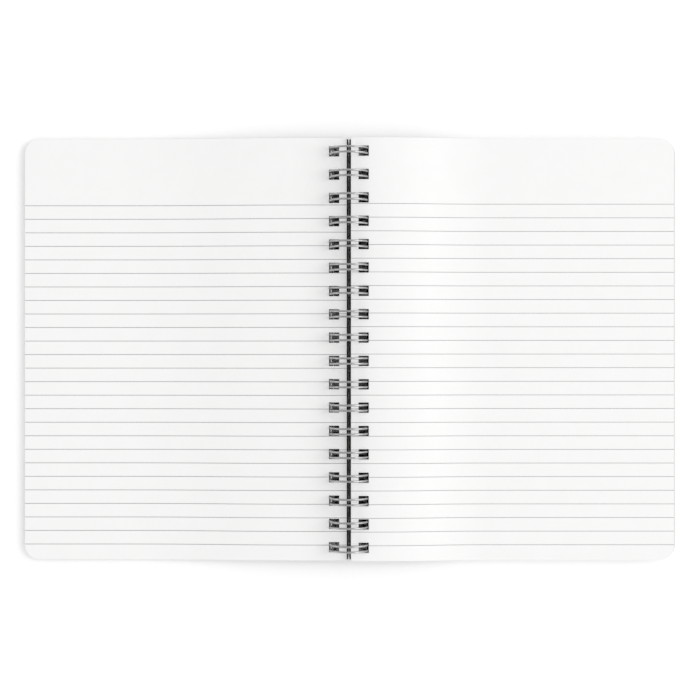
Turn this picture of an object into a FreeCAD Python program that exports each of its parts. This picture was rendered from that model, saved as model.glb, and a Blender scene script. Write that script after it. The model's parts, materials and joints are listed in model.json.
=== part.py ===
"""Ruled notebook on a twin-loop wire, lying open in the middle.

Millimetres. X runs across the spread, Y along the binding, Z up from the table,
and X = 0 is the middle of the spread. Five pieces: the pages turned to the left,
the pages left on the right, a card cover under each, and one continuous wire
whose closed fingertips come to rest in the holes of the left pages.
"""
import FreeCAD
import Part
import math
import os

# Leaves and covers
LEAF_WIDTH = 176.4
LEAF_LENGTH = 230.4
CORNER_RADIUS = 8.0
LEFT_STACK = 2.6
RIGHT_STACK = 6.3
LEFT_LEAN = -1.2
RIGHT_LEAN = 1.8
COVER_THICKNESS = 0.6

# Punching: a row of square holes beside the bound edge
LOOP_PITCH = 12.7
HOLE_ACROSS = 5.65
HOLE_ALONG = 5.7
HOLE_MARGIN = 4.0

# Twin-loop wire: each loop is a pair of rings closed by a fingertip
RING_INSIDE = 19.0
WIRE_DIAMETER = 1.1
PAIR_SPACING = 2.9
FINGER_SPREAD = 3.4
CHORDS_PER_TURN = 20
SECTION_SIDES = 6
FINGERTIP_ANGLE = 196.0
BAR_ANGLE = 212.0
BAR_BEND = 1.6

# How the leaves lie on the rings and on the table
LEFT_TOP_UNDER_AXIS = 2.0
RIGHT_TOP_OVER_AXIS = 1.3
COVER_LIFT = 2.5
LEVEL_BAND = 14.0
LEFT_SLOPE_RUN = 110.0
RIGHT_SLOPE_RUN = 62.0
COVER_SLOPE_RUN = 46.0

# Clearances
LEAF_TO_COVER = 0.1
HOLE_TO_RING = 0.15
COVER_TO_RING = 0.12

# The ring is a chain of straight chords whose middle radius is the wire's own
HALF_CHORD = math.radians(180.0 / CHORDS_PER_TURN)
RING_RADIUS = (RING_INSIDE + WIRE_DIAMETER) / 2
CORNER_TO_AXIS = RING_RADIUS * 2 / (1 + math.cos(HALF_CHORD))
SECTION_RADIUS = WIRE_DIAMETER / (1 + math.cos(math.pi / SECTION_SIDES))
RING_OUTER = CORNER_TO_AXIS + SECTION_RADIUS / math.cos(HALF_CHORD)
RING_INNER = CORNER_TO_AXIS * math.cos(HALF_CHORD) - SECTION_RADIUS
AXIS_HEIGHT = RING_OUTER

# Heights of the leaves beside the rings and out on the table
LEFT_TOP = AXIS_HEIGHT - LEFT_TOP_UNDER_AXIS
RIGHT_TOP = AXIS_HEIGHT + RIGHT_TOP_OVER_AXIS
LEAF_BASE = COVER_THICKNESS + LEAF_TO_COVER

# The rings' axis stands where both fore-edges reach equally far from X = 0
AXIS_X = (max(LEFT_LEAN, 0.0) - max(RIGHT_LEAN, 0.0)) / 2

# As many loops as the leaf's length takes
LOOP_COUNT = math.floor(LEAF_LENGTH / LOOP_PITCH)

# Where the punched strips start, out from the rings' axis
PAGE_HOLE_START = RING_OUTER + HOLE_TO_RING - HOLE_ACROSS
PAGE_EDGE = PAGE_HOLE_START - HOLE_MARGIN
COVER_DROP = AXIS_HEIGHT - COVER_LIFT
COVER_HOLE_START = math.sqrt((RING_INNER - COVER_TO_RING) ** 2 - COVER_DROP ** 2)
COVER_EDGE = COVER_HOLE_START - HOLE_MARGIN


def loop_centres():
    """Return the place along the binding of each loop."""
    middle = (LOOP_COUNT - 1) / 2
    return [(number - middle) * LOOP_PITCH for number in range(LOOP_COUNT)]


def slope(start, end):
    """Return the two tangent arcs that lead from one level height to another."""
    run = end.x - start.x
    fall = start.z - end.z
    radius = run * run / (4 * abs(fall)) + abs(fall) / 4
    half_turn = math.asin(abs(run) / 2 / radius) / 2
    step = math.copysign(radius * math.sin(half_turn), run)
    drop = math.copysign(radius * (1 - math.cos(half_turn)), fall)
    middle = (start + end) * 0.5
    first = Part.Arc(start, start + FreeCAD.Vector(step, 0, -drop), middle)
    second = Part.Arc(middle, end + FreeCAD.Vector(-step, 0, drop), end)
    return [first.toShape(), second.toShape()]


def spot(side, across, along, height):
    """Return the point at a distance out from the rings' axis on one side."""
    return FreeCAD.Vector(AXIS_X + side * across, along, height)


def leaf(side, edge, slant, bound_top, far_top, run):
    """Return a bent leaf or stack: level at the rings, sloping, then flat.

    The slant leads from the top sheet to the lowest one, down and sideways.
    """
    def line(start, end):
        return Part.LineSegment(start, end).toShape()

    near = -LEAF_LENGTH / 2
    top = [spot(side, edge, near, bound_top), spot(side, LEVEL_BAND, near, bound_top),
           spot(side, LEVEL_BAND + run, near, far_top), spot(side, edge + LEAF_WIDTH, near, far_top)]
    base = [corner + slant for corner in top]
    edges = [line(top[0], top[1]), *slope(top[1], top[2]), line(top[2], top[3]),
             line(top[3], base[3]), line(base[3], base[2]), *slope(base[2], base[1]),
             line(base[1], base[0]), line(base[0], top[0])]
    profile = Part.Face(Part.Wire(edges))
    return profile.extrude(FreeCAD.Vector(0, LEAF_LENGTH, 0))


def hole(side, across, centre, height):
    """Return the square outline of one binding hole."""
    near = centre - HOLE_ALONG / 2
    far = near + HOLE_ALONG
    inner, outer = across, across + HOLE_ACROSS
    corners = [(inner, near), (outer, near), (outer, far), (inner, far), (inner, near)]
    return Part.makePolygon([spot(side, *corner, height) for corner in corners])


def corner_offcut(side, outer, end, height):
    """Return the outline of what a round-corner die takes off one outer corner."""
    inner = outer - CORNER_RADIUS
    past = outer + CORNER_RADIUS
    half = LEAF_LENGTH / 2
    low = half - CORNER_RADIUS
    on_arc = CORNER_RADIUS * math.sqrt(0.5)
    arc = Part.Arc(spot(side, inner, end * half, height),
                   spot(side, inner + on_arc, end * (low + on_arc), height),
                   spot(side, outer, end * low, height)).toShape()
    rest = [(outer, low), (past, low), (past, half + CORNER_RADIUS),
            (inner, half + CORNER_RADIUS), (inner, half)]
    sides = Part.makePolygon([spot(side, x, end * y, height) for x, y in rest])
    return Part.Wire([arc] + sides.Edges)


def die_cut(solid, outlines, slant):
    """Cut outlines that lie on a leaf's top through it, along its slant."""
    cutters = [Part.Face(Part.Wire(outline)).translated(-slant).extrude(slant * 3)
               for outline in outlines]
    return solid.cut(Part.makeCompound(cutters))


def cut_leaf(side, edge, hole_start, thickness, lean, bound_top, far_top, run):
    """Return a bent leaf or stack with its binding holes and two round corners."""
    slant = FreeCAD.Vector(side * lean, 0, -thickness)
    outlines = [hole(side, hole_start, centre, bound_top) for centre in loop_centres()]
    outlines += [corner_offcut(side, edge + LEAF_WIDTH, end, far_top) for end in (-1, 1)]
    return die_cut(leaf(side, edge, slant, bound_top, far_top, run), outlines, slant)


def pages(side, thickness, lean, bound_top, run):
    """Return the stack of sheets on one side."""
    return cut_leaf(side, PAGE_EDGE, PAGE_HOLE_START, thickness, lean,
                    bound_top, LEAF_BASE + thickness, run)


def cover(side):
    """Return one card cover, lifted at the rings so that they pass under it."""
    return cut_leaf(side, COVER_EDGE, COVER_HOLE_START, COVER_THICKNESS, 0.0,
                    COVER_LIFT + COVER_THICKNESS, COVER_THICKNESS, COVER_SLOPE_RUN)


def on_ring(degrees, along):
    """Return a point of the wire's centre line at an angle round the rings."""
    turn = math.radians(degrees)
    return FreeCAD.Vector(AXIS_X + CORNER_TO_AXIS * math.cos(turn), along,
                          AXIS_HEIGHT + CORNER_TO_AXIS * math.sin(turn))


def half_loop_path():
    """Return the centre line from the middle of a bar to the middle of a fingertip."""
    beside = PAIR_SPACING / 2
    spread = FINGER_SPREAD / 2
    per_mm = math.degrees(1 / CORNER_TO_AXIS)
    bend = BAR_BEND * per_mm
    path = [on_ring(BAR_ANGLE, LOOP_PITCH / 2),
            on_ring(BAR_ANGLE, beside + BAR_BEND),
            on_ring(BAR_ANGLE + 0.3 * bend, beside + 0.3 * BAR_BEND),
            on_ring(BAR_ANGLE + bend, beside)]
    tip = FINGERTIP_ANGLE + 360.0
    start = BAR_ANGLE + bend
    end = tip - spread * per_mm
    count = round((end - start) * CHORDS_PER_TURN / 360)
    for number in range(1, count + 1):
        share = number / count
        widen = max(0.0, 4 * share - 3) ** 2
        path.append(on_ring(start + (end - start) * share, beside + (spread - beside) * widen))
    for quarter in (30.0, 60.0):
        turn = math.radians(quarter)
        path.append(on_ring(end + spread * math.sin(turn) * per_mm, spread * math.cos(turn)))
    path.append(on_ring(tip, 0.25 * spread))
    path.append(on_ring(tip, 0.0))
    return path


def wire():
    """Return the whole wire: half loops mirrored and repeated, closed at both ends."""
    path = half_loop_path()
    turns = [2 * math.pi * number / SECTION_SIDES for number in range(SECTION_SIDES + 1)]
    section = Part.makePolygon([
        path[0] + FreeCAD.Vector(math.cos(turn), 0, math.sin(turn)) * SECTION_RADIUS
        for turn in turns])
    right_corner = 1
    skin = Part.Wire(Part.makePolygon(path)).makePipeShell([section], False, False, right_corner)
    origin = FreeCAD.Vector(0, 0, 0)
    loop = skin.Faces + skin.mirror(origin, FreeCAD.Vector(0, 1, 0)).Faces
    faces = []
    for centre in loop_centres():
        shift = FreeCAD.Vector(0, centre, 0)
        faces.extend(face.translated(shift) for face in loop)
    last = loop_centres()[-1]
    end = Part.Face(Part.Wire(section))
    faces.append(end.translated(FreeCAD.Vector(0, last, 0)))
    faces.append(end.translated(FreeCAD.Vector(0, loop_centres()[0] - LOOP_PITCH, 0)))
    shell = Part.Shell(faces)
    shell.sewShape()
    return Part.Solid(shell)


def build():
    """Return every piece by name."""
    return {
        "right_pages": pages(1, RIGHT_STACK, RIGHT_LEAN, RIGHT_TOP, RIGHT_SLOPE_RUN),
        "left_pages": pages(-1, LEFT_STACK, LEFT_LEAN, LEFT_TOP, LEFT_SLOPE_RUN),
        "wire_binding": wire(),
        "front_cover": cover(-1),
        "back_cover": cover(1),
    }


os.makedirs("parts", exist_ok=True)
for name, shape in build().items():
    shape.exportStep("parts/" + name + ".step")
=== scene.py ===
"""Finish and studio scene for an open ruled notebook on a twin-loop wire.

Metres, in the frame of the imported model: X across the spread, Y along the binding,
Z up from the table. The sheets, covers and wire are surfaces worked out with numpy
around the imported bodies.
"""
import json
import math

import bpy
import bmesh
import numpy as np
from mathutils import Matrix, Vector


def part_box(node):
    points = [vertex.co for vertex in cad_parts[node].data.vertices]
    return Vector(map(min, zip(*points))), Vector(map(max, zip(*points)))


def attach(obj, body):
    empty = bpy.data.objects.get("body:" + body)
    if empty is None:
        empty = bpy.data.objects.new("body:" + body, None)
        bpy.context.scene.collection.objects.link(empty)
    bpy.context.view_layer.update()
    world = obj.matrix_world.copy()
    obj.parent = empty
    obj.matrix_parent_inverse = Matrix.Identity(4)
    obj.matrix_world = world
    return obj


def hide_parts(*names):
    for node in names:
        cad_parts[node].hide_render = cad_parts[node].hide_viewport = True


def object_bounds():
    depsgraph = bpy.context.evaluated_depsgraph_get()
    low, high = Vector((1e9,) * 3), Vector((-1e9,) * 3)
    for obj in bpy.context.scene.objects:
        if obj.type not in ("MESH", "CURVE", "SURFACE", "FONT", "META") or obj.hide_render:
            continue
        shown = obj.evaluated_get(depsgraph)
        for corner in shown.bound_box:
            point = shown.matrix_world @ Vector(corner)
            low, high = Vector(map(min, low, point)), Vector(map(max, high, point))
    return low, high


bl_info = {
    "name": "Open wire-bound notebook",
    "version": (1, 0, 0),
    "blender": (4, 5, 0),
    "location": "View3D > Sidebar > Notebook",
    "description": "Builds the sheets, covers, wire and studio of an open ruled notebook",
    "category": "Object",
}

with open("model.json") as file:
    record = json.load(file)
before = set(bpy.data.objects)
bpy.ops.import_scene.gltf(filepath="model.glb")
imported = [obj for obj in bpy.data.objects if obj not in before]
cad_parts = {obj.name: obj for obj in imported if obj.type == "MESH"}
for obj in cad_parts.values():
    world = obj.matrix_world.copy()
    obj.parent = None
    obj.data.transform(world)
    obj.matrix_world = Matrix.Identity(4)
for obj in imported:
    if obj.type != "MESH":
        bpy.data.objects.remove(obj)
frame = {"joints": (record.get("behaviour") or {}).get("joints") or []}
CAD_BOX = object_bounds()
JOINTS = {joint["name"]: joint for joint in frame["joints"]}
AXIS_X, AXIS_Y, AXIS_Z = JOINTS["close_notebook"]["pos_m"]
MM = 0.001

# Seams and sharp edges
SEAM_DISTANCE = 2e-7
SHARP_ANGLE = math.radians(40)
SNAP = 1e-9

# How finely a leaf is divided: on its slope, on the table and round its corners
SLOPE_STEP = 4 * MM
SLOPE_COLUMNS = 8
FLAT_COLUMNS = 12
CORNER_COLUMNS = 12
CORNER_ROWS = (0.25, 0.5, 0.75, 0.9, 1.0)
CARD_LAYERS = 2

# How the sheets stray, as shares of the stray; their cut edges' random brightness and painted rim
# shade
DRIFT = 0.35
JITTER = 0.3
TRIM_SHARES = (0.02, 0.2)
SHEET_TONES = (0.84, 1.0)
# Painted shade toward each sheet's lower rim, darker on a share of sheets, for the gaps between
# sheets
RIM_PAINTED_SHADE = 0.7
GAP_PAINTED_SHADE = 0.35
GAP_SHARE = 0.14

# How finely half a loop of the wire is divided
BAR_POINTS = 6
BEND_POINTS = 9
RING_POINTS = 72
TIP_POINTS = 10
WIRE_SIDES = 12

# Patterns: where a ramp's two shades lie, and streaks to a metre along X, Y and Z
RAMP_ENDS = (0.35, 0.65)
STREAKS = (14.0, 14.0, 3500.0)

# Directions between which the room's brightness rises, as shares of straight right and up
RIGHT_WALL_BAND = (0.05, 0.5)
EYE_LEVEL_BAND = (0.5, 0.1)

# Camera: sensor in millimetres, depth in metres
SENSOR_WIDTH = 36.0
VIEW_DEPTH = 50.0


class NotebookSizes(bpy.types.PropertyGroup):
    """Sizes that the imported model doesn't state by itself."""
    leaf_width: bpy.props.FloatProperty(
        name="Leaf width", description="From the bound edge to the fore-edge of one sheet",
        default=176.4 * MM, unit="LENGTH")
    corner_radius: bpy.props.FloatProperty(
        name="Corner radius", description="Rounding of the two outer corners of every leaf",
        default=8.0 * MM, unit="LENGTH")
    left_stack: bpy.props.FloatProperty(
        name="Left stack", description="Thickness of the sheets turned to the left",
        default=2.6 * MM, unit="LENGTH")
    left_lean: bpy.props.FloatProperty(
        name="Left lean", description="How far out the lowest left sheet lies from the top one",
        default=-1.2 * MM, unit="LENGTH")
    right_stack: bpy.props.FloatProperty(
        name="Right stack", description="Thickness of the sheets on the right",
        default=6.3 * MM, unit="LENGTH")
    right_lean: bpy.props.FloatProperty(
        name="Right lean", description="How far out the lowest right sheet lies from the top one",
        default=1.8 * MM, unit="LENGTH")
    sheet_thickness: bpy.props.FloatProperty(
        name="Sheet thickness", description="Thickness of one sheet of paper",
        default=0.1 * MM, unit="LENGTH")
    sheet_stray: bpy.props.FloatProperty(
        name="Sheet stray", description="How far a sheet may lie from its true place in the stack",
        default=0.14 * MM, unit="LENGTH")
    cover_thickness: bpy.props.FloatProperty(
        name="Cover thickness", description="Thickness of a card cover",
        default=0.6 * MM, unit="LENGTH")
    card_rounding: bpy.props.FloatProperty(
        name="Card rounding", description="Softness of the cut edges of a cover",
        default=0.12 * MM, unit="LENGTH")
    level_band: bpy.props.FloatProperty(
        name="Level band", description="How far from the rings' axis the leaves stay level",
        default=14.0 * MM, unit="LENGTH")
    left_run: bpy.props.FloatProperty(
        name="Left slope", description="Width over which the left sheets come down to the table",
        default=110.0 * MM, unit="LENGTH")
    right_run: bpy.props.FloatProperty(
        name="Right slope", description="Width over which the right sheets come down",
        default=62.0 * MM, unit="LENGTH")
    cover_run: bpy.props.FloatProperty(
        name="Cover slope", description="Width over which a cover comes down to the table",
        default=46.0 * MM, unit="LENGTH")
    loop_pitch: bpy.props.FloatProperty(
        name="Loop pitch", description="Distance from one binding hole to the next",
        default=12.7 * MM, unit="LENGTH")
    loop_count: bpy.props.IntProperty(
        name="Loops", description="Number of double loops along the binding", default=18)
    hole_across: bpy.props.FloatProperty(
        name="Hole width", description="Size of a binding hole across the leaf",
        default=5.65 * MM, unit="LENGTH")
    hole_along: bpy.props.FloatProperty(
        name="Hole length", description="Size of a binding hole along the binding",
        default=5.7 * MM, unit="LENGTH")
    hole_margin: bpy.props.FloatProperty(
        name="Hole margin", description="Paper left between a hole and the bound edge",
        default=4.0 * MM, unit="LENGTH")
    wire_diameter: bpy.props.FloatProperty(
        name="Wire", description="Thickness of the binding wire",
        default=1.1 * MM, unit="LENGTH")
    ring_inside: bpy.props.FloatProperty(
        name="Ring inside", description="Inner width of the closed rings",
        default=19.0 * MM, unit="LENGTH")
    pair_spacing: bpy.props.FloatProperty(
        name="Pair spacing", description="Distance between the two rings of a loop",
        default=2.9 * MM, unit="LENGTH")
    finger_spread: bpy.props.FloatProperty(
        name="Fingertip width", description="Distance between the two wires at a fingertip",
        default=3.4 * MM, unit="LENGTH")
    fingertip_angle: bpy.props.FloatProperty(
        name="Fingertip angle", description="Where on the ring the fingertips end",
        default=math.radians(196.0), subtype="ANGLE")
    bar_angle: bpy.props.FloatProperty(
        name="Bar angle", description="Where on the ring the bars between the loops lie",
        default=math.radians(212.0), subtype="ANGLE")
    bar_bend: bpy.props.FloatProperty(
        name="Bar bend", description="Radius of the bend from a ring into a bar",
        default=1.6 * MM, unit="LENGTH")
    line_pitch: bpy.props.FloatProperty(
        name="Line pitch", description="Distance from one ruled line to the next",
        default=7.42 * MM, unit="LENGTH")
    line_count: bpy.props.IntProperty(
        name="Ruled lines", description="Number of ruled lines on a page", default=26)
    line_width: bpy.props.FloatProperty(
        name="Line width", description="Width of a ruled line on the left page",
        default=0.34 * MM, unit="LENGTH")
    right_line_width: bpy.props.FloatProperty(
        name="Right line width", description="Width of a ruled line on the right page",
        default=0.29 * MM, unit="LENGTH")
    head_margin: bpy.props.FloatProperty(
        name="Head margin", description="Blank paper above the first ruled line",
        default=36.5 * MM, unit="LENGTH")
    right_print_growth: bpy.props.FloatProperty(
        name="Right print growth", description="How much taller the print is on the right page",
        default=0.55 * MM, unit="LENGTH")


class NotebookColours(bpy.types.PropertyGroup):
    """Colours of the paper, its print, the card and the wire."""
    paper: bpy.props.FloatVectorProperty(
        name="Paper", description="Uncoated white writing paper",
        default=(0.92, 0.92, 0.915), subtype="COLOR")
    sheet_edge: bpy.props.FloatVectorProperty(
        name="Sheet edge", description="Cut edge of the paper",
        default=(0.9, 0.9, 0.885), subtype="COLOR")
    ink: bpy.props.FloatVectorProperty(
        name="Ruling", description="Grey ink of the ruled lines",
        default=(0.34, 0.34, 0.34), subtype="COLOR")
    card: bpy.props.FloatVectorProperty(
        name="Card", description="Black card of the covers",
        default=(0.014, 0.014, 0.015), subtype="COLOR")
    wire: bpy.props.FloatVectorProperty(
        name="Wire", description="Bright zinc of the binding wire",
        default=(0.42, 0.42, 0.425), subtype="COLOR")


def node_at(tree, kind, at, **inputs):
    """Add a shader node at a place in the layout and set its named inputs."""
    node = tree.nodes.new(kind)
    node.location = at
    for name, value in inputs.items():
        node.inputs[name].default_value = value
    return node


def computed(tree, operation, at, *values):
    """Add a maths node whose inputs are other nodes' results or plain numbers."""
    node = node_at(tree, "ShaderNodeMath", at)
    node.operation = operation
    for number, value in enumerate(values):
        if isinstance(value, bpy.types.NodeSocket):
            tree.links.new(value, node.inputs[number])
        else:
            node.inputs[number].default_value = value
    return node.outputs["Value"]


def mapped(tree, value, source, target, at, kind="LINEAR"):
    """Map a value from one range to another and hold it level past both ends."""
    node = node_at(tree, "ShaderNodeMapRange", at)
    node.interpolation_type = kind
    for name, number in zip(("From Min", "From Max", "To Min", "To Max"), (*source, *target)):
        node.inputs[name].default_value = number
    tree.links.new(value, node.inputs["Value"])
    return node.outputs["Result"]


def new_material(name, colour, roughness, specular):
    """Return a material, its tree and its shader, with object coordinates to hand."""
    material = bpy.data.materials.new(name)
    material.use_nodes = True
    tree = material.node_tree
    shader = tree.nodes["Principled BSDF"]
    shader.inputs["Base Color"].default_value = (*colour, 1.0)
    shader.inputs["Roughness"].default_value = roughness
    shader.inputs["Specular IOR Level"].default_value = specular
    coordinates = node_at(tree, "ShaderNodeTexCoord", (-1200, 0))
    return material, tree, shader, coordinates.outputs["Object"]


def noise(tree, coordinates, features, detail, at):
    """Add a noise pattern with a number of features to a metre."""
    node = node_at(tree, "ShaderNodeTexNoise", at, Scale=features, Detail=detail, Roughness=0.6)
    tree.links.new(coordinates, node.inputs["Vector"])
    return node.outputs["Fac"]


def tinted(tree, shader, pattern, colour, low, high):
    """Colour a shader by a pattern, between a darker and a lighter shade of one colour."""
    ramp = node_at(tree, "ShaderNodeValToRGB", (-560, 120))
    for element, position, factor in zip(ramp.color_ramp.elements, RAMP_ENDS, (low, high)):
        element.position = position
        element.color = (*(min(1.0, channel * factor) for channel in colour), 1.0)
    tree.links.new(pattern, ramp.inputs["Fac"])
    tree.links.new(ramp.outputs["Color"], shader.inputs["Base Color"])


def bumped(tree, shader, height, strength, depth):
    """Give a shader fine relief from a pattern."""
    bump = node_at(tree, "ShaderNodeBump", (-260, -320), Strength=strength, Distance=depth)
    tree.links.new(height, bump.inputs["Height"])
    tree.links.new(bump.outputs["Normal"], shader.inputs["Normal"])


def paper_material(colours):
    """Matt uncoated paper: faint cloudy shifts in colour and fine fibres in relief."""
    material, tree, shader, place = new_material("writing_paper", colours.paper,
                                                 roughness=0.88, specular=0.25)
    cloud = noise(tree, place, features=90.0, detail=3.0, at=(-860, 120))
    tinted(tree, shader, cloud, colours.paper, low=0.994, high=1.004)
    fibres = noise(tree, place, features=2600.0, detail=4.0, at=(-860, -260))
    bumped(tree, shader, fibres, strength=0.22, depth=0.03 * MM)
    return material


def ink_material(colours):
    """Ruled line: grey ink that lies thicker and thinner along the paper's fibres."""
    material, tree, shader, place = new_material("ruling_ink", colours.ink,
                                                 roughness=0.85, specular=0.2)
    broken = noise(tree, place, features=1900.0, detail=3.0, at=(-860, 120))
    tinted(tree, shader, broken, colours.ink, low=0.86, high=1.16)
    return material


def sheet_edge_material(colours):
    """Cut edge of the stack: each sheet's own brightness and painted rim shade, times streaks along
    the layers.
    """
    material, tree, shader, place = new_material("cut_sheet_edge", colours.sheet_edge,
                                                 roughness=0.9, specular=0.2)
    # Reads each sheet's random brightness times the painted shade at its lower rim
    tone = node_at(tree, "ShaderNodeAttribute", (-860, 160))
    tone.attribute_name = "tone"
    layers = node_at(tree, "ShaderNodeMapping", (-1000, -200), Scale=STREAKS)
    tree.links.new(place, layers.inputs["Vector"])
    streaks = noise(tree, layers.outputs["Vector"], features=1.0, detail=2.0, at=(-820, -60))
    spread = mapped(tree, streaks, (0.0, 1.0), (0.9, 1.1), (-640, -60))
    both = computed(tree, "MULTIPLY", (-460, 80), tone.outputs["Fac"], spread)
    mix = node_at(tree, "ShaderNodeMix", (-260, 120))
    mix.data_type = "RGBA"
    mix.inputs["A"].default_value = (0.0, 0.0, 0.0, 1.0)
    mix.inputs["B"].default_value = (*colours.sheet_edge, 1.0)
    tree.links.new(both, mix.inputs["Factor"])
    tree.links.new(mix.outputs["Result"], shader.inputs["Base Color"])
    return material


def card_material(colours):
    """Black card: soft sheen, a fine pressed grain and a slightly uneven dye."""
    material, tree, shader, place = new_material("black_card", colours.card,
                                                 roughness=0.62, specular=0.35)
    cloud = noise(tree, place, features=60.0, detail=4.0, at=(-860, 120))
    tinted(tree, shader, cloud, colours.card, low=0.85, high=1.25)
    grain = noise(tree, place, features=1500.0, detail=5.0, at=(-860, -260))
    bumped(tree, shader, grain, strength=0.35, depth=0.06 * MM)
    return material


def wire_material(colours):
    """Bright zinc wire: metal with faint cloudy spangle and drawing marks."""
    material, tree, shader, place = new_material("bright_wire", colours.wire,
                                                 roughness=0.24, specular=0.5)
    shader.inputs["Metallic"].default_value = 1.0
    cloud = noise(tree, place, features=700.0, detail=3.0, at=(-860, 120))
    tinted(tree, shader, cloud, colours.wire, low=0.93, high=1.04)
    rough = mapped(tree, cloud, (0.0, 1.0), (0.2, 0.34), (-560, -120))
    tree.links.new(rough, shader.inputs["Roughness"])
    marks = noise(tree, place, features=5200.0, detail=2.0, at=(-860, -320))
    bumped(tree, shader, marks, strength=0.12, depth=0.02 * MM)
    return material


def new_piece(name, vertices, faces, materials, slots=None, smooth=None, tone=None):
    """Put arrays of vertices and faces into a mesh object.

    Faces is a list of index arrays, one array for each group of equal-sided faces,
    with the material slot and the smooth flag of each face beside it. The last
    argument holds one number for each vertex, which the cut edge's material reads:
    each sheet's random brightness, times painted shade toward its lower rim.
    """
    mesh = bpy.data.meshes.new(name)
    sizes = np.concatenate([np.full(len(group), group.shape[1]) for group in faces])
    mesh.vertices.add(len(vertices))
    mesh.vertices.foreach_set("co", vertices.astype(np.float32).ravel())
    loops = np.concatenate([group.ravel() for group in faces])
    mesh.loops.add(len(loops))
    mesh.loops.foreach_set("vertex_index", loops.astype(np.int32))
    mesh.polygons.add(len(sizes))
    starts = np.concatenate([[0], np.cumsum(sizes)[:-1]])
    mesh.polygons.foreach_set("loop_start", starts.astype(np.int32))
    for material in materials:
        mesh.materials.append(material)
    if slots is not None:
        mesh.polygons.foreach_set("material_index", np.concatenate(slots).astype(np.int32))
    flags = np.ones(len(sizes), bool) if smooth is None else np.concatenate(smooth)
    mesh.polygons.foreach_set("use_smooth", flags)
    if tone is not None:
        layer = mesh.attributes.new("tone", "FLOAT", "POINT")
        layer.data.foreach_set("value", tone.astype(np.float32))
    mesh.update(calc_edges=True)
    mesh.validate()
    piece = bpy.data.objects.new(name, mesh)
    bpy.context.scene.collection.objects.link(piece)
    return piece


def merge_seams(piece):
    """Join the points that neighbouring surfaces share, and keep sharp edges sharp."""
    work = bmesh.new()
    work.from_mesh(piece.data)
    bmesh.ops.remove_doubles(work, verts=work.verts, dist=SEAM_DISTANCE)
    bmesh.ops.dissolve_degenerate(work, edges=work.edges, dist=SEAM_DISTANCE)
    work.to_mesh(piece.data)
    work.free()
    piece.data.set_sharp_from_angle(angle=SHARP_ANGLE)


def slope_height(across, level, run, high, low):
    """Height of a leaf at a distance out from the rings.

    Level at the high value up to the level band, then two equal arcs that meet in
    the middle of the run, then level at the low value. Each arc's radius is
    run squared over four times the fall, plus a quarter of the fall.
    """
    fall = high - low
    radius = run * run / (4 * fall) + fall / 4
    out = np.clip(across - level, 0.0, run)
    first = high - (radius - np.sqrt(radius ** 2 - np.minimum(out, run / 2) ** 2))
    second = low + (radius - np.sqrt(radius ** 2 - np.minimum(run - out, run / 2) ** 2))
    return np.where(out < run / 2, first, second)


def outline_columns(edge, outer, radius, level, run, hole_start, hole_end):
    """Distances out from the rings at which a leaf's surface has a column of points."""
    count = max(SLOPE_COLUMNS, round(run / SLOPE_STEP))
    sloping = np.linspace(level, level + run, count)
    flat = np.linspace(level + run, outer - radius, FLAT_COLUMNS)
    turn = np.radians(np.linspace(0, 90, CORNER_COLUMNS))
    corner = outer - radius + radius * np.sin(turn)
    columns = np.concatenate([[edge, hole_start, hole_end], sloping, flat, corner])
    return np.unique(np.round(columns, 9))


def outline_rows(half, radius, bands):
    """Places along the binding at which a leaf's surface has a row of points.

    Rows inside the straight part are true lengths. The rest are shares of what is
    left up to the leaf's end, which the rounded corners shorten.
    """
    straight = half - radius
    marks = np.unique(np.round(np.concatenate([bands.ravel(), [-straight, straight, 0.0]]), 9))
    core = marks[np.abs(marks) <= straight + SNAP]
    shares = (marks[marks > straight + SNAP] - straight) / radius
    ends = np.unique(np.round(np.concatenate([shares, CORNER_ROWS]), 6))
    return core, ends


def leaf_grid(columns, core, ends, half, radius, outer):
    """Grid of one leaf as distance out and place along, corners rounded.

    The leaf's half length at a distance out is the full half length up to the
    corner, then the straight part plus the height of the corner's circle.
    """
    past = np.clip(columns - (outer - radius), 0.0, radius)
    reach = np.sqrt(np.maximum(radius ** 2 - past ** 2, 0.0))
    top = half - radius + ends[None, :] * reach[:, None]
    middle = np.broadcast_to(core, (len(columns), len(core)))
    along = np.concatenate([-top[:, ::-1], middle, top], axis=1)
    across = np.broadcast_to(columns[:, None], along.shape)
    return across, along


def grid_faces(shape):
    """Index array of the quads between the points of a grid."""
    index = np.arange(shape[0] * shape[1]).reshape(shape)
    return np.stack([index[:-1, :-1], index[1:, :-1], index[1:, 1:], index[:-1, 1:]], axis=-1)


def loop_places(sizes):
    """Place along the binding of each loop, centred on the leaf."""
    number = np.arange(sizes.loop_count) - (sizes.loop_count - 1) / 2
    return number * sizes.loop_pitch


def line_bands(sizes, form):
    """Lower and upper edge of every ruled line, counted down from the page's head."""
    number = np.arange(sizes.line_count)
    middle = form["half"] - sizes.head_margin - number * sizes.line_pitch
    middle += form["print_growth"] * (1 - number / number[-1])
    return middle[:, None] + np.array([-0.5, 0.5]) * form["line_width"]


def between_points(places, bands):
    """Whether the middle between each place and the next lies inside one of the bands."""
    middle = 0.5 * (places[:-1] + places[1:])
    return ((middle[:, None] > bands[:, 0]) & (middle[:, None] < bands[:, 1])).any(axis=1)


def sheet_strays(random, count, sizes):
    """How far each sheet lies off its true place: across, along, and its trim.

    A slow random walk that starts and ends at nothing, plus a little jitter, is held
    inside the stray by its hyperbolic tangent. The trim sets each sheet's cut edge
    back by a small share of the stray. The two outer sheets lie true.
    """
    drift = np.cumsum(random.normal(0.0, DRIFT, (count, 2)), axis=0)
    share = np.linspace(0, 1, count)[:, None]
    drift -= share * drift[-1] + (1 - share) * drift[0]
    stray = np.tanh(drift + random.normal(0.0, JITTER, (count, 2))) * sizes.sheet_stray
    trim = random.uniform(*TRIM_SHARES, (count, 1)) * sizes.sheet_stray
    stray = np.concatenate([stray, trim], axis=1)
    stray[0] = stray[-1] = 0.0
    return stray


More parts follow.
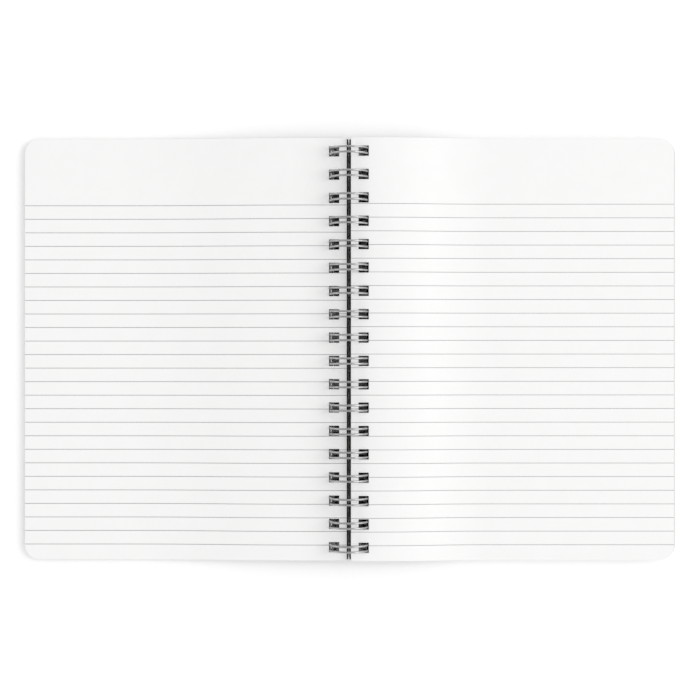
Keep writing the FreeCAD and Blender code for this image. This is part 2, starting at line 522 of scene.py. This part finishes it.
def stack_piece(name, side, sizes, materials, form, count, ruled):
    """Build a stack of leaves, or one card, as a single closed piece.

    Top and bottom are grids over distance out and place along. Between them every
    sheet adds two rings of the same outline, at its own small stray from the
    stack's lean, so the cut edges and the holes show the separate sheets; a painted
    shade along each sheet's lower rim darkens the gaps between them. The first
    material is the leaf's, the second its ruled lines' and the last its cut edges'.
    """
    half, radius, thickness = form["half"], sizes.corner_radius, form["thickness"]
    edge, outer = form["edge"], form["edge"] + sizes.leaf_width
    hole_start = edge + sizes.hole_margin
    hole_end = hole_start + sizes.hole_across
    holes = loop_places(sizes)[:, None] + np.array([-0.5, 0.5]) * sizes.hole_along
    lines = line_bands(sizes, form) if ruled else np.empty((0, 2))
    columns = outline_columns(edge, outer, radius, sizes.level_band, form["run"],
                              hole_start, hole_end)
    core, ends = outline_rows(half, radius, np.concatenate([holes, lines]))
    across, along = leaf_grid(columns, core, ends, half, radius, outer)
    random = np.random.default_rng(form["seed"])
    stray = sheet_strays(random, count, sizes)

    def placed(out, beside, depth, shift):
        """Point of the stack under its top sheet, moved by the lean and a stray.

        The lean grows evenly from none at the level band to all of it at the
        fore-edge, and no sheet strays past its own trimmed outline.
        """
        fan = np.clip((out - sizes.level_band) / (outer - sizes.level_band), 0.0, 1.0)
        moved = np.minimum(out + fan * form["lean"] * depth / thickness + shift[..., 0],
                           form["reach"] - shift[..., 2])
        limit = half - shift[..., 2]
        beside = np.clip(beside + shift[..., 1], -limit, limit)
        top = slope_height(out, sizes.level_band, form["run"], form["high"], form["low"])
        return np.stack([AXIS_X + side * moved, beside, top - depth], axis=-1)

    in_strip = between_points(columns, np.array([[hole_start, hole_end]]))
    open_cells = in_strip[:, None] & between_points(along[0], holes)[None, :]
    on_line = between_points(along[0], lines).astype(int)
    slot_cells = np.broadcast_to(on_line, open_cells.shape)[~open_cells]

    true_place = np.zeros(3)
    quads = grid_faces(across.shape)[~open_cells]
    up = quads if side > 0 else quads[:, ::-1]
    down = up[:, ::-1] + across.size
    vertices = [placed(across, along, depth, true_place).reshape(-1, 3)
                for depth in (0.0, thickness)]
    tones_and_rim_shades = [np.ones(2 * across.size)]
    faces, slots = [up, down], [slot_cells, slot_cells]
    smooth = [np.ones(2 * len(quads), bool)]

    def walls(out, beside):
        """Rings of every sheet round one closed outline, joined by quads."""
        start = sum(len(group) for group in vertices)
        depth = np.repeat(np.linspace(0, thickness, count + 1), 2)[1:-1]
        shift = np.repeat(stray, 2, axis=0)[:, None, :]
        rings = placed(out[None, :], beside[None, :], depth[:, None], shift)
        index = start + np.arange(rings.shape[0] * rings.shape[1]).reshape(rings.shape[:2])
        around = np.roll(index, -1, axis=1)
        skin = np.stack([index[1:], around[1:], around[:-1], index[:-1]], axis=-1)
        skin = skin.reshape(-1, 4)
        vertices.append(rings.reshape(-1, 3))
        # Top ring: the sheet's random brightness; lower ring: that times painted shade, darker on a
        # share of sheets, for the gaps between sheets
        own = random.uniform(*SHEET_TONES, count)
        painted_rim_shade = np.where(random.random(count) < GAP_SHARE, GAP_PAINTED_SHADE, RIM_PAINTED_SHADE)
        tones_and_rim_shades.append(np.repeat(np.stack([own, own * painted_rim_shade], axis=-1).ravel(), rings.shape[1]))
        faces.append(skin if side > 0 else skin[:, ::-1])
        slots.append(np.full(len(skin), len(materials) - 1))
        smooth.append(np.zeros(len(skin), bool))

    walls(*(np.concatenate([grid[:-1, 0], grid[-1, :-1], grid[:0:-1, -1], grid[0, :0:-1]])
            for grid in (across, along)))
    for low, high in holes:
        beside = along[0][(along[0] > low - SNAP) & (along[0] < high + SNAP)]
        out = np.repeat([hole_start, hole_end], len(beside))
        walls(out, np.concatenate([beside, beside[::-1]]))

    piece = new_piece(name, np.concatenate(vertices), faces, materials, slots, smooth,
                      np.concatenate(tones_and_rim_shades))
    merge_seams(piece)
    return piece


def stack_form(node, side, sizes, thickness, lean, run, seed):
    """Read a stack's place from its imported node: heights, bound edge and half length."""
    low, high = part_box(node)
    reach = (high.x - AXIS_X) if side > 0 else (AXIS_X - low.x)
    return {
        "half": (high.y - low.y) / 2, "reach": reach,
        "edge": reach - max(lean, 0.0) - sizes.leaf_width,
        "high": high.z, "low": low.z + thickness, "thickness": thickness,
        "lean": lean, "run": run, "seed": seed,
        "print_growth": sizes.right_print_growth if side > 0 else 0.0,
        "line_width": sizes.right_line_width if side > 0 else sizes.line_width,
    }


class NOTEBOOK_OT_sheets(bpy.types.Operator):
    """Build the two stacks of ruled sheets"""
    bl_idname = "notebook.sheets"
    bl_label = "Ruled sheets"

    def execute(self, context):
        sizes, colours = context.scene.notebook_sizes, context.scene.notebook_colours
        materials = [paper_material(colours), ink_material(colours), sheet_edge_material(colours)]
        stacks = (
            ("left_sheets", "left_pages", "left_block", -1, sizes.left_stack, sizes.left_lean,
             sizes.left_run, 3),
            ("right_sheets", "right_pages", "right_block", 1, sizes.right_stack, sizes.right_lean,
             sizes.right_run, 4),
        )
        for name, node, body, side, thickness, lean, run, seed in stacks:
            form = stack_form(node, side, sizes, thickness, lean, run, seed)
            count = round(thickness / sizes.sheet_thickness)
            piece = stack_piece(name, side, sizes, materials, form, count, True)
            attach(piece, body)
            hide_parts(node)
        return {"FINISHED"}


class NOTEBOOK_OT_covers(bpy.types.Operator):
    """Build the two card covers"""
    bl_idname = "notebook.covers"
    bl_label = "Card covers"

    def execute(self, context):
        sizes, colours = context.scene.notebook_sizes, context.scene.notebook_colours
        card = card_material(colours)
        for name, node, body, side in (("front_card", "front_cover", "front_card", -1),
                                       ("back_card", "back_cover", "back_card", 1)):
            form = stack_form(node, side, sizes, sizes.cover_thickness, 0.0, sizes.cover_run, 0)
            piece = stack_piece(name, side, sizes, [card], form, CARD_LAYERS, False)
            rounding = piece.modifiers.new("edge_rounding", "BEVEL")
            rounding.width = sizes.card_rounding
            rounding.segments = 2
            rounding.limit_method = "ANGLE"
            rounding.angle_limit = SHARP_ANGLE
            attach(piece, body)
            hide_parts(node)
        return {"FINISHED"}


def half_loop(sizes, radius):
    """Centre line from the middle of a bar to the middle of a fingertip, unrolled.

    Returns the length round the ring and the place along the binding: straight along
    the bar, a quarter circle into the ring, along the ring while the wire moves
    out to the fingertip's width over the last fifth, and a quarter circle round the
    fingertip.
    """
    beside, spread, bend = sizes.pair_spacing / 2, sizes.finger_spread / 2, sizes.bar_bend
    begin = sizes.bar_angle * radius
    end = (sizes.fingertip_angle + 2 * math.pi) * radius - spread
    bar = np.linspace(sizes.loop_pitch / 2, beside + bend, BAR_POINTS)[:-1]
    quarter = np.radians(np.linspace(0, 90, BEND_POINTS))
    ring = np.linspace(begin + bend, end, RING_POINTS)[1:-1]
    share = (ring - begin - bend) / (end - begin - bend)
    widen = np.clip(5 * share - 4, 0.0, 1.0) ** 2
    tip = np.radians(np.linspace(0, 90, TIP_POINTS))
    around = [np.full(len(bar), begin), begin + bend - bend * np.cos(quarter), ring,
              end + spread * np.sin(tip)]
    along = [bar, beside + bend - bend * np.sin(quarter), beside + (spread - beside) * widen,
             spread * np.cos(tip)]
    return np.concatenate(around), np.concatenate(along)


def wire_path(sizes, radius):
    """Centre line of the whole wire, rolled on the rings' cylinder.

    Every loop is a half loop and its mirror image, run end to end, and the loops
    follow one another along the binding.
    """
    around, beside = half_loop(sizes, radius)
    around = np.concatenate([around, around[-2::-1]])
    beside = np.concatenate([-beside, beside[-2::-1]])
    places = loop_places(sizes)
    turn = np.tile(around[:-1], len(places)) / radius
    along = (places[:, None] + beside[None, :-1]).ravel()
    turn = np.append(turn, around[-1] / radius)
    along = np.append(along, places[-1] + beside[-1])
    normal = np.stack([np.cos(turn), np.zeros_like(turn), np.sin(turn)], axis=-1)
    centre = np.array([AXIS_X, 0.0, AXIS_Z]) + radius * normal
    centre[:, 1] = AXIS_Y + along
    return centre, normal


def tube(centre, normal, thickness, sides):
    """Round tube along a path that lies on a cylinder.

    Each ring of points is the centre plus the tube's radius times the cosine of a
    turn along the cylinder's normal and its sine along the cross direction.
    """
    tangent = np.gradient(centre, axis=0)
    tangent /= np.linalg.norm(tangent, axis=1, keepdims=True)
    cross = np.cross(tangent, normal)
    cross /= np.linalg.norm(cross, axis=1, keepdims=True)
    turn = np.linspace(0, 2 * math.pi, sides, endpoint=False)
    ring = (np.cos(turn)[None, :, None] * normal[:, None, :]
            + np.sin(turn)[None, :, None] * cross[:, None, :])
    vertices = centre[:, None, :] + thickness / 2 * ring
    index = np.arange(len(centre) * sides).reshape(-1, sides)
    after = np.roll(index, -1, axis=1)
    skin = np.stack([index[:-1], after[:-1], after[1:], index[1:]], axis=-1).reshape(-1, 4)
    caps = np.stack([index[0][::-1], index[-1]])
    return vertices.reshape(-1, 3), [skin, caps]


class NOTEBOOK_OT_wire(bpy.types.Operator):
    """Build the twin-loop wire"""
    bl_idname = "notebook.wire"
    bl_label = "Twin-loop wire"

    def execute(self, context):
        sizes, colours = context.scene.notebook_sizes, context.scene.notebook_colours
        radius = (sizes.ring_inside + sizes.wire_diameter) / 2
        centre, normal = wire_path(sizes, radius)
        vertices, faces = tube(centre, normal, sizes.wire_diameter, WIRE_SIDES)
        skin, caps = faces
        smooth = [np.ones(len(skin), bool), np.zeros(len(caps), bool)]
        piece = new_piece("twin_loop_wire", vertices, faces, [wire_material(colours)], None, smooth)
        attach(piece, "left_block")
        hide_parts("wire_binding")
        return {"FINISHED"}


class NotebookStudio(bpy.types.PropertyGroup):
    """Camera and light of the photograph."""
    camera_height: bpy.props.FloatProperty(
        name="Camera height", description="Height of the lens above the table",
        default=0.931, unit="LENGTH")
    camera_x: bpy.props.FloatProperty(
        name="Camera across", description="Place of the lens across the spread",
        default=-0.27 * MM, unit="LENGTH")
    camera_y: bpy.props.FloatProperty(
        name="Camera along", description="Place of the lens along the binding",
        default=-0.4 * MM, unit="LENGTH")
    lens: bpy.props.FloatProperty(
        name="Lens", description="Focal length for a sensor 36 mm wide",
        default=86.98, unit="CAMERA")
    overhead: bpy.props.FloatProperty(
        name="Overhead", description="Brightness of the room overhead and on the left",
        default=0.675)
    right_wall: bpy.props.FloatProperty(
        name="Right side", description="Brightness that the right side of the room adds",
        default=0.38)
    eye_level: bpy.props.FloatProperty(
        name="Eye level", description="Brightness that the room adds down at eye level",
        default=0.7)
    key_power: bpy.props.FloatProperty(
        name="Key light", description="Power of the soft key light on the right",
        default=62.0, unit="POWER")
    key_place: bpy.props.FloatVectorProperty(
        name="Key place", description="Where the key light hangs",
        default=(3.8, 0.5, 3.2), subtype="TRANSLATION", unit="LENGTH")
    key_size: bpy.props.FloatProperty(
        name="Key size", description="Width and height of the key light",
        default=2.4, unit="LENGTH")
    floor_reach: bpy.props.FloatProperty(
        name="Floor reach", description="How far the floor goes to each side",
        default=4.0, unit="LENGTH")
    floor_drop: bpy.props.FloatProperty(
        name="Floor drop", description="How far the floor lies under the covers",
        default=0.02 * MM, unit="LENGTH")
    floor_lift: bpy.props.FloatProperty(
        name="Floor lift", description="Light added to the floor near the notebook",
        default=0.16)
    lift_start: bpy.props.FloatProperty(
        name="Lift start", description="Distance at which the added light begins to grow",
        default=0.35, unit="LENGTH")
    lift_end: bpy.props.FloatProperty(
        name="Lift end", description="Distance from which the floor is as white as the room",
        default=1.3, unit="LENGTH")
    shade_reach_x: bpy.props.FloatProperty(
        name="Shade across", description="Half width of the floor strip in the binding's shade",
        default=14.0 * MM, unit="LENGTH")
    shade_reach_y: bpy.props.FloatProperty(
        name="Shade along", description="Half length of the floor strip in the binding's shade",
        default=115.0 * MM, unit="LENGTH")
    shade_fade: bpy.props.FloatProperty(
        name="Shade fade", description="Width of the soft rim inside that strip",
        default=2.5 * MM, unit="LENGTH")
    floor_colour: bpy.props.FloatVectorProperty(
        name="Floor", description="White paper table",
        default=(0.9, 0.9, 0.9), subtype="COLOR")


def beyond_binding(tree, coordinates, studio):
    """Return zero on the strip of floor under the binding and one round it.

    The larger of how far the place lies past each reach is mapped smoothly from
    zero at the fade's width inside to one at the strip's edge.
    """
    split = node_at(tree, "ShaderNodeSeparateXYZ", (-900, -300))
    tree.links.new(coordinates, split.inputs["Vector"])
    past = []
    for name, reach, low in (("X", studio.shade_reach_x, -200), ("Y", studio.shade_reach_y, -400)):
        size = computed(tree, "ABSOLUTE", (-740, low), split.outputs[name])
        past.append(computed(tree, "SUBTRACT", (-580, low), size, reach))
    larger = computed(tree, "MAXIMUM", (-420, -300), *past)
    return mapped(tree, larger, (-studio.shade_fade, 0.0), (0.0, 1.0), (-260, -300), "SMOOTHSTEP")


def floor_material(studio):
    """White floor that keeps soft shadows and reads as white to the camera.

    What a camera sees, also in a gloss or through glass, is the lit floor plus a
    little light. That light grows with the distance from the notebook until the
    floor runs into the white of the room, and is left out under the binding.
    """
    material, tree, shader, place = new_material("white_floor", studio.floor_colour,
                                                 roughness=0.9, specular=0.0)
    ray = node_at(tree, "ShaderNodeLightPath", (-900, 500)).outputs
    seen = computed(tree, "MAXIMUM", (-600, 500), ray["Is Camera Ray"], ray["Is Glossy Ray"])
    through = computed(tree, "MAXIMUM", (-440, 500), seen, ray["Is Transmission Ray"])
    outside = beyond_binding(tree, place, studio)
    share = computed(tree, "MULTIPLY", (-240, 400), through, outside)
    away = node_at(tree, "ShaderNodeVectorMath", (-900, 200))
    away.operation = "LENGTH"
    tree.links.new(place, away.inputs[0])
    rise = mapped(tree, away.outputs["Value"], (studio.lift_start, studio.lift_end),
                  (studio.floor_lift, 1.0), (-600, 200), "SMOOTHSTEP")
    lift = computed(tree, "MULTIPLY", (-80, 400), share, rise)
    glow = node_at(tree, "ShaderNodeEmission", (80, -200))
    tree.links.new(lift, glow.inputs["Strength"])
    both = node_at(tree, "ShaderNodeAddShader", (280, 200))
    tree.links.new(shader.outputs["BSDF"], both.inputs[0])
    tree.links.new(glow.outputs["Emission"], both.inputs[1])
    tree.links.new(both.outputs["Shader"], tree.nodes["Material Output"].inputs["Surface"])
    return material


def studio_world(studio):
    """Plain grey room: even overhead and to the left, brighter at eye level and on the right.

    The brightness is the overhead value, plus a smooth rise with how far right a
    direction points, plus a smooth rise as it comes down to eye level.
    """
    world = bpy.data.worlds.new("studio")
    world.use_nodes = True
    tree = world.node_tree
    coordinates = node_at(tree, "ShaderNodeTexCoord", (-900, 0))
    split = node_at(tree, "ShaderNodeSeparateXYZ", (-700, 0))
    tree.links.new(coordinates.outputs["Generated"], split.inputs["Vector"])
    right = mapped(tree, split.outputs["X"], RIGHT_WALL_BAND, (0.0, studio.right_wall),
                   (-500, 100), "SMOOTHSTEP")
    level = mapped(tree, split.outputs["Z"], EYE_LEVEL_BAND, (0.0, studio.eye_level),
                   (-500, -200), "SMOOTHSTEP")
    both = computed(tree, "ADD", (-300, 0), right, level)
    total = computed(tree, "ADD", (-140, 0), both, studio.overhead)
    background = tree.nodes["Background"]
    tree.links.new(total, background.inputs["Strength"])
    background.inputs["Color"].default_value = (1.0, 1.0, 1.0, 1.0)
    return world


def soft_box(name, place, aim, size, power):
    """Hang a square area lamp that looks at a point."""
    light = bpy.data.lights.new(name, "AREA")
    light.shape = "SQUARE"
    light.size, light.energy = size, power
    lamp = bpy.data.objects.new(name, light)
    lamp.location = place
    direction = aim - lamp.location
    lamp.rotation_euler = direction.to_track_quat("-Z", "Y").to_euler()
    bpy.context.scene.collection.objects.link(lamp)


class NOTEBOOK_OT_stage(bpy.types.Operator):
    """Build the floor, the light and the camera"""
    bl_idname = "notebook.stage"
    bl_label = "Studio"

    def execute(self, context):
        scene, studio = context.scene, context.scene.notebook_studio
        corners = np.array([[-1, -1, 0], [1, -1, 0], [1, 1, 0], [-1, 1, 0]]) * studio.floor_reach
        corners[:, 2] = -studio.floor_drop
        floor = new_piece("floor", corners, [np.array([[0, 1, 2, 3]])], [floor_material(studio)])
        scene.world = studio_world(studio)
        centre = (CAD_BOX[0] + CAD_BOX[1]) / 2
        soft_box("key_light", studio.key_place, centre, studio.key_size, studio.key_power)
        camera = bpy.data.cameras.new("camera")
        camera.lens = studio.lens
        camera.sensor_width = SENSOR_WIDTH
        camera.clip_end = VIEW_DEPTH
        holder = bpy.data.objects.new("camera", camera)
        holder.location = (studio.camera_x, studio.camera_y, studio.camera_height)
        scene.collection.objects.link(holder)
        scene.camera = holder
        scene.view_settings.view_transform = "Standard"
        return {"FINISHED"}


class NOTEBOOK_PT_panel(bpy.types.Panel):
    """Lists the steps and the sizes in the sidebar"""
    bl_idname = "NOTEBOOK_PT_panel"
    bl_label = "Notebook"
    bl_space_type = "VIEW_3D"
    bl_region_type = "UI"
    bl_category = "Notebook"

    def draw(self, context):
        for step in STEPS:
            self.layout.operator(step.bl_idname)
        for group in (context.scene.notebook_sizes, context.scene.notebook_colours,
                      context.scene.notebook_studio):
            box = self.layout.box()
            for name in type(group).__annotations__:
                box.prop(group, name)


STEPS = (NOTEBOOK_OT_sheets, NOTEBOOK_OT_covers, NOTEBOOK_OT_wire, NOTEBOOK_OT_stage)
GROUPS = (("notebook_sizes", NotebookSizes), ("notebook_colours", NotebookColours),
          ("notebook_studio", NotebookStudio))


def register():
    """Register every class and hang the settings on the scene."""
    for name, group in GROUPS:
        bpy.utils.register_class(group)
        setattr(bpy.types.Scene, name, bpy.props.PointerProperty(type=group))
    for step in STEPS + (NOTEBOOK_PT_panel,):
        bpy.utils.register_class(step)


def unregister():
    """Take the classes and the settings away again."""
    for step in (NOTEBOOK_PT_panel,) + STEPS[::-1]:
        bpy.utils.unregister_class(step)
    for name, group in GROUPS[::-1]:
        delattr(bpy.types.Scene, name)
        bpy.utils.unregister_class(group)


def main():
    """Build everything in order."""
    register()
    bpy.ops.notebook.sheets()
    bpy.ops.notebook.covers()
    bpy.ops.notebook.wire()
    bpy.ops.notebook.stage()


if __name__ == "__main__":
    main()
